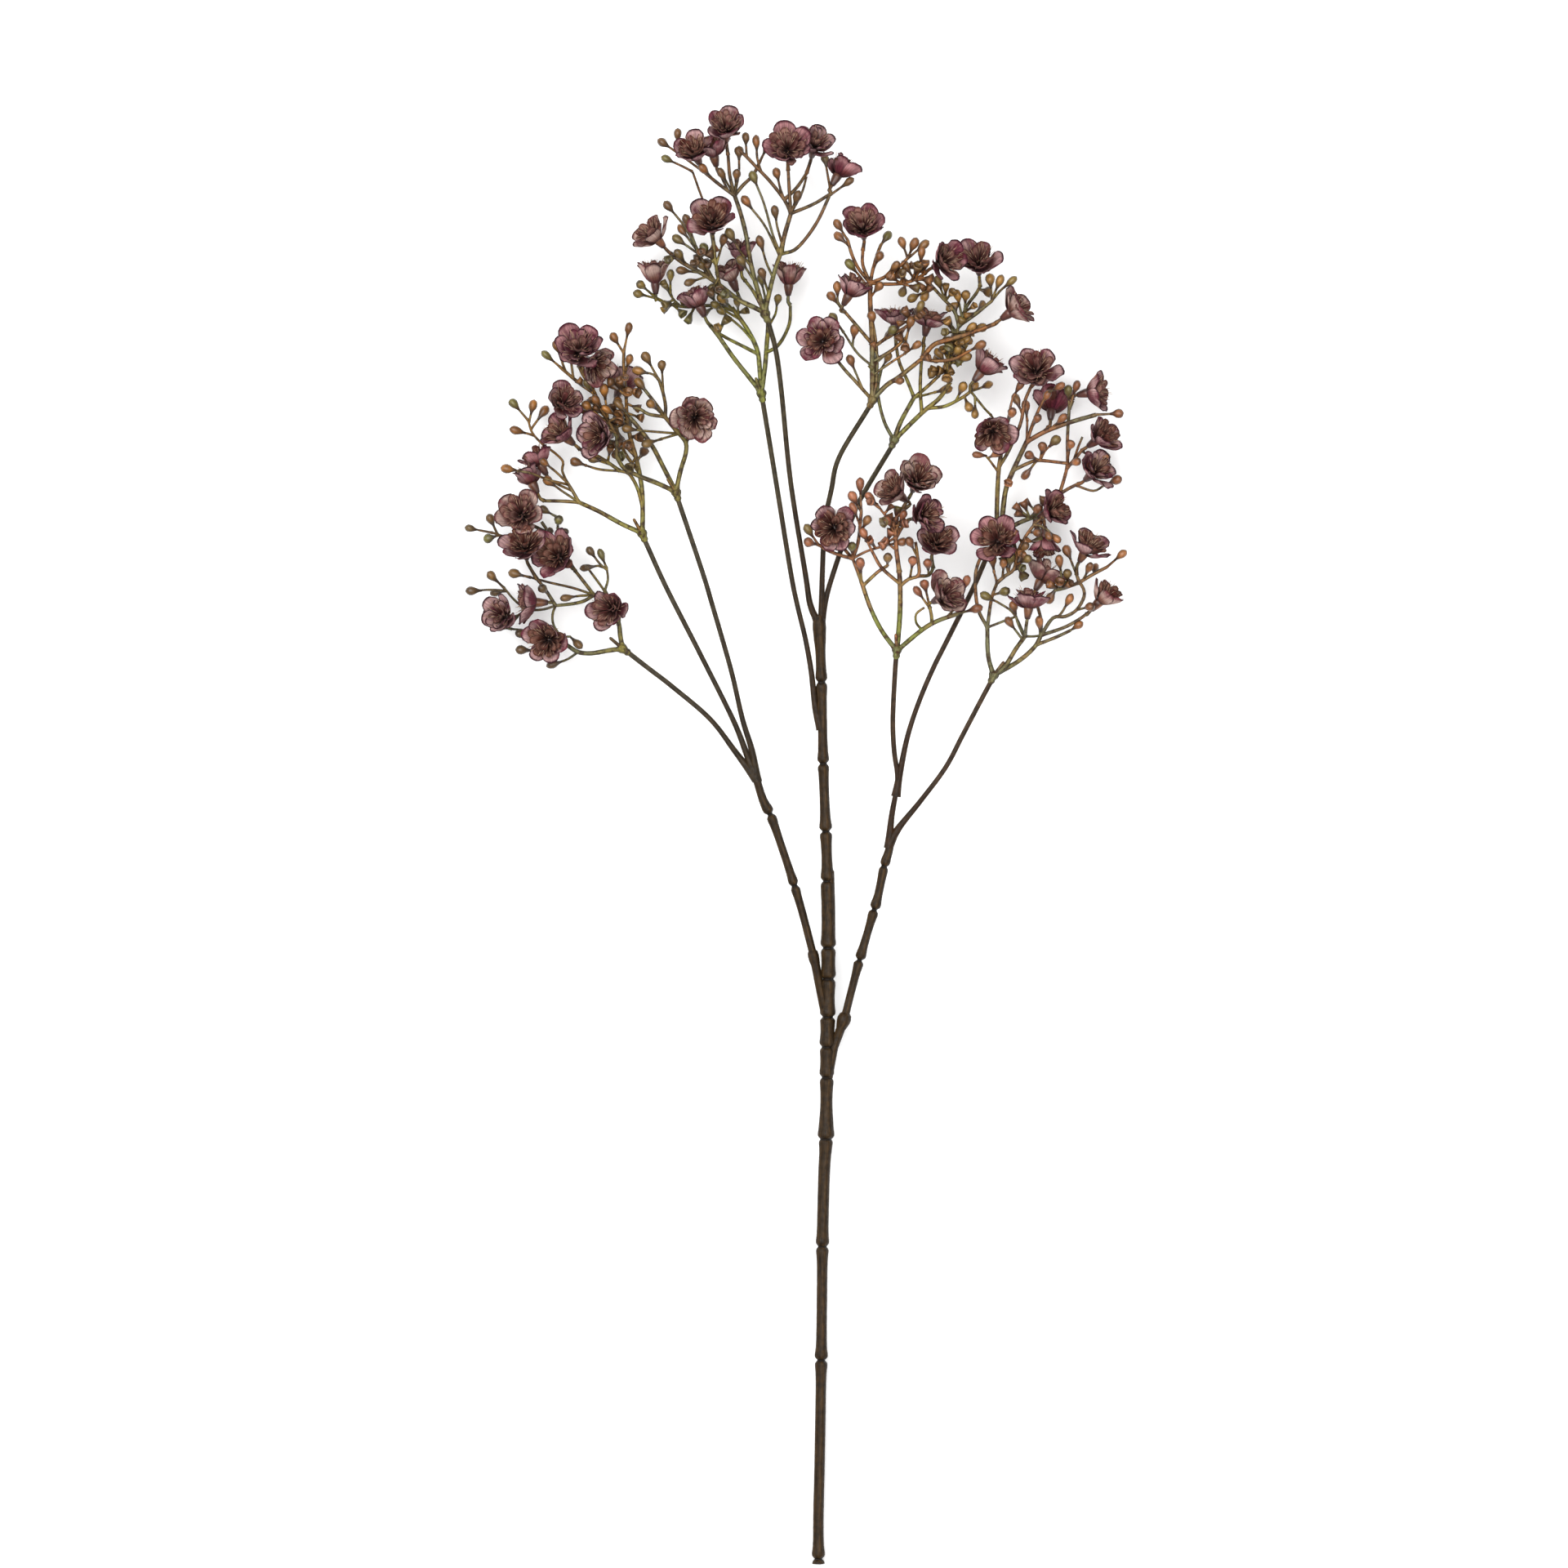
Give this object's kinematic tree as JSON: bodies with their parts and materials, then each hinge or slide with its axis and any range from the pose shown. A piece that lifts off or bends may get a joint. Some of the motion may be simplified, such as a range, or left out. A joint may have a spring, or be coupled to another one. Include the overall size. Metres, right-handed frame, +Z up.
{
  "type": "gypsophila stem",
  "caption": "Branching artificial gypsophila stem with knuckled brown stalks, olive twigs, egg-shaped buds and small double mauve blooms, lying flat",
  "frame": {"origin": "middle of the stem's length and width, on the surface that it lies on", "axes": "+Y runs along the stem from its cut end to its heads, +Z is up from the surface, and +X is to the right as seen from above"},
  "size_m": [0.2955, 0.652, 0.063],
  "materials": {
    "stem_brown": "semi-gloss moulded plastic with faint lengthwise mould lines",
    "twig_olive": "olive to orange-brown moulded plastic, slightly waxy",
    "bloom_mauve": "thin printed fabric petals, pale at the tips and dark brown at the middle"
  },
  "bodies": {
    "root": {"bloom_a_back": "bloom_mauve", "bloom_a_big": "bloom_mauve", "bloom_a_far": "bloom_mauve", "bloom_b_left": "bloom_mauve", "bloom_b_mid": "bloom_mauve", "bloom_b_right": "bloom_mauve", "bloom_c_big": "bloom_mauve", "bloom_c_far": "bloom_mauve", "bloom_c_left": "bloom_mauve", "bloom_c_right": "bloom_mauve", "bloom_c_side": "bloom_mauve", "bloom_d_right": "bloom_mauve", "bloom_d_top": "bloom_mauve", "bloom_e_left": "bloom_mauve", "bloom_e_low": "bloom_mauve", "bloom_e_low_right": "bloom_mauve", "bloom_e_mid": "bloom_mauve", "bloom_f_back": "bloom_mauve", "bloom_f_end": "bloom_mauve", "bloom_f_left": "bloom_mauve", "bloom_f_low": "bloom_mauve", "bloom_f_low_right": "bloom_mauve", "bloom_f_right": "bloom_mauve", "bloom_f_top": "bloom_mauve", "bloom_g_hidden": "bloom_mauve", "bloom_g_left": "bloom_mauve", "bloom_g_low": "bloom_mauve", "bloom_g_low_right": "bloom_mauve", "bloom_g_mid": "bloom_mauve", "bloom_g_right": "bloom_mauve", "bloom_h_left": "bloom_mauve", "bloom_h_main": "bloom_mauve", "bloom_i_low": "bloom_mauve", "bloom_j_edge": "bloom_mauve", "bloom_j_far": "bloom_mauve", "bloom_j_low": "bloom_mauve", "bloom_j_right": "bloom_mauve", "blooms_a_front_pale": "bloom_mauve", "blooms_a_low_lower": "bloom_mauve", "blooms_a_top_left_mid": "bloom_mauve", "blooms_d_left_mid": "bloom_mauve", "blooms_e_top_top_left": "bloom_mauve", "blooms_i_left_low_shelf": "bloom_mauve", "blooms_i_side_side_low": "bloom_mauve", "blooms_i_top_right": "bloom_mauve", "blooms_j_top_mid_right_top": "bloom_mauve", "left_limb": "stem_brown", "main_stem": "stem_brown", "right_limb": "stem_brown", "spray_a": "twig_olive", "spray_b": "twig_olive", "spray_c": "twig_olive", "spray_d": "twig_olive", "spray_e": "twig_olive", "spray_f": "twig_olive", "spray_g": "twig_olive", "spray_h": "twig_olive", "spray_i": "twig_olive", "spray_j": "twig_olive"}
  },
  "joints": []
}
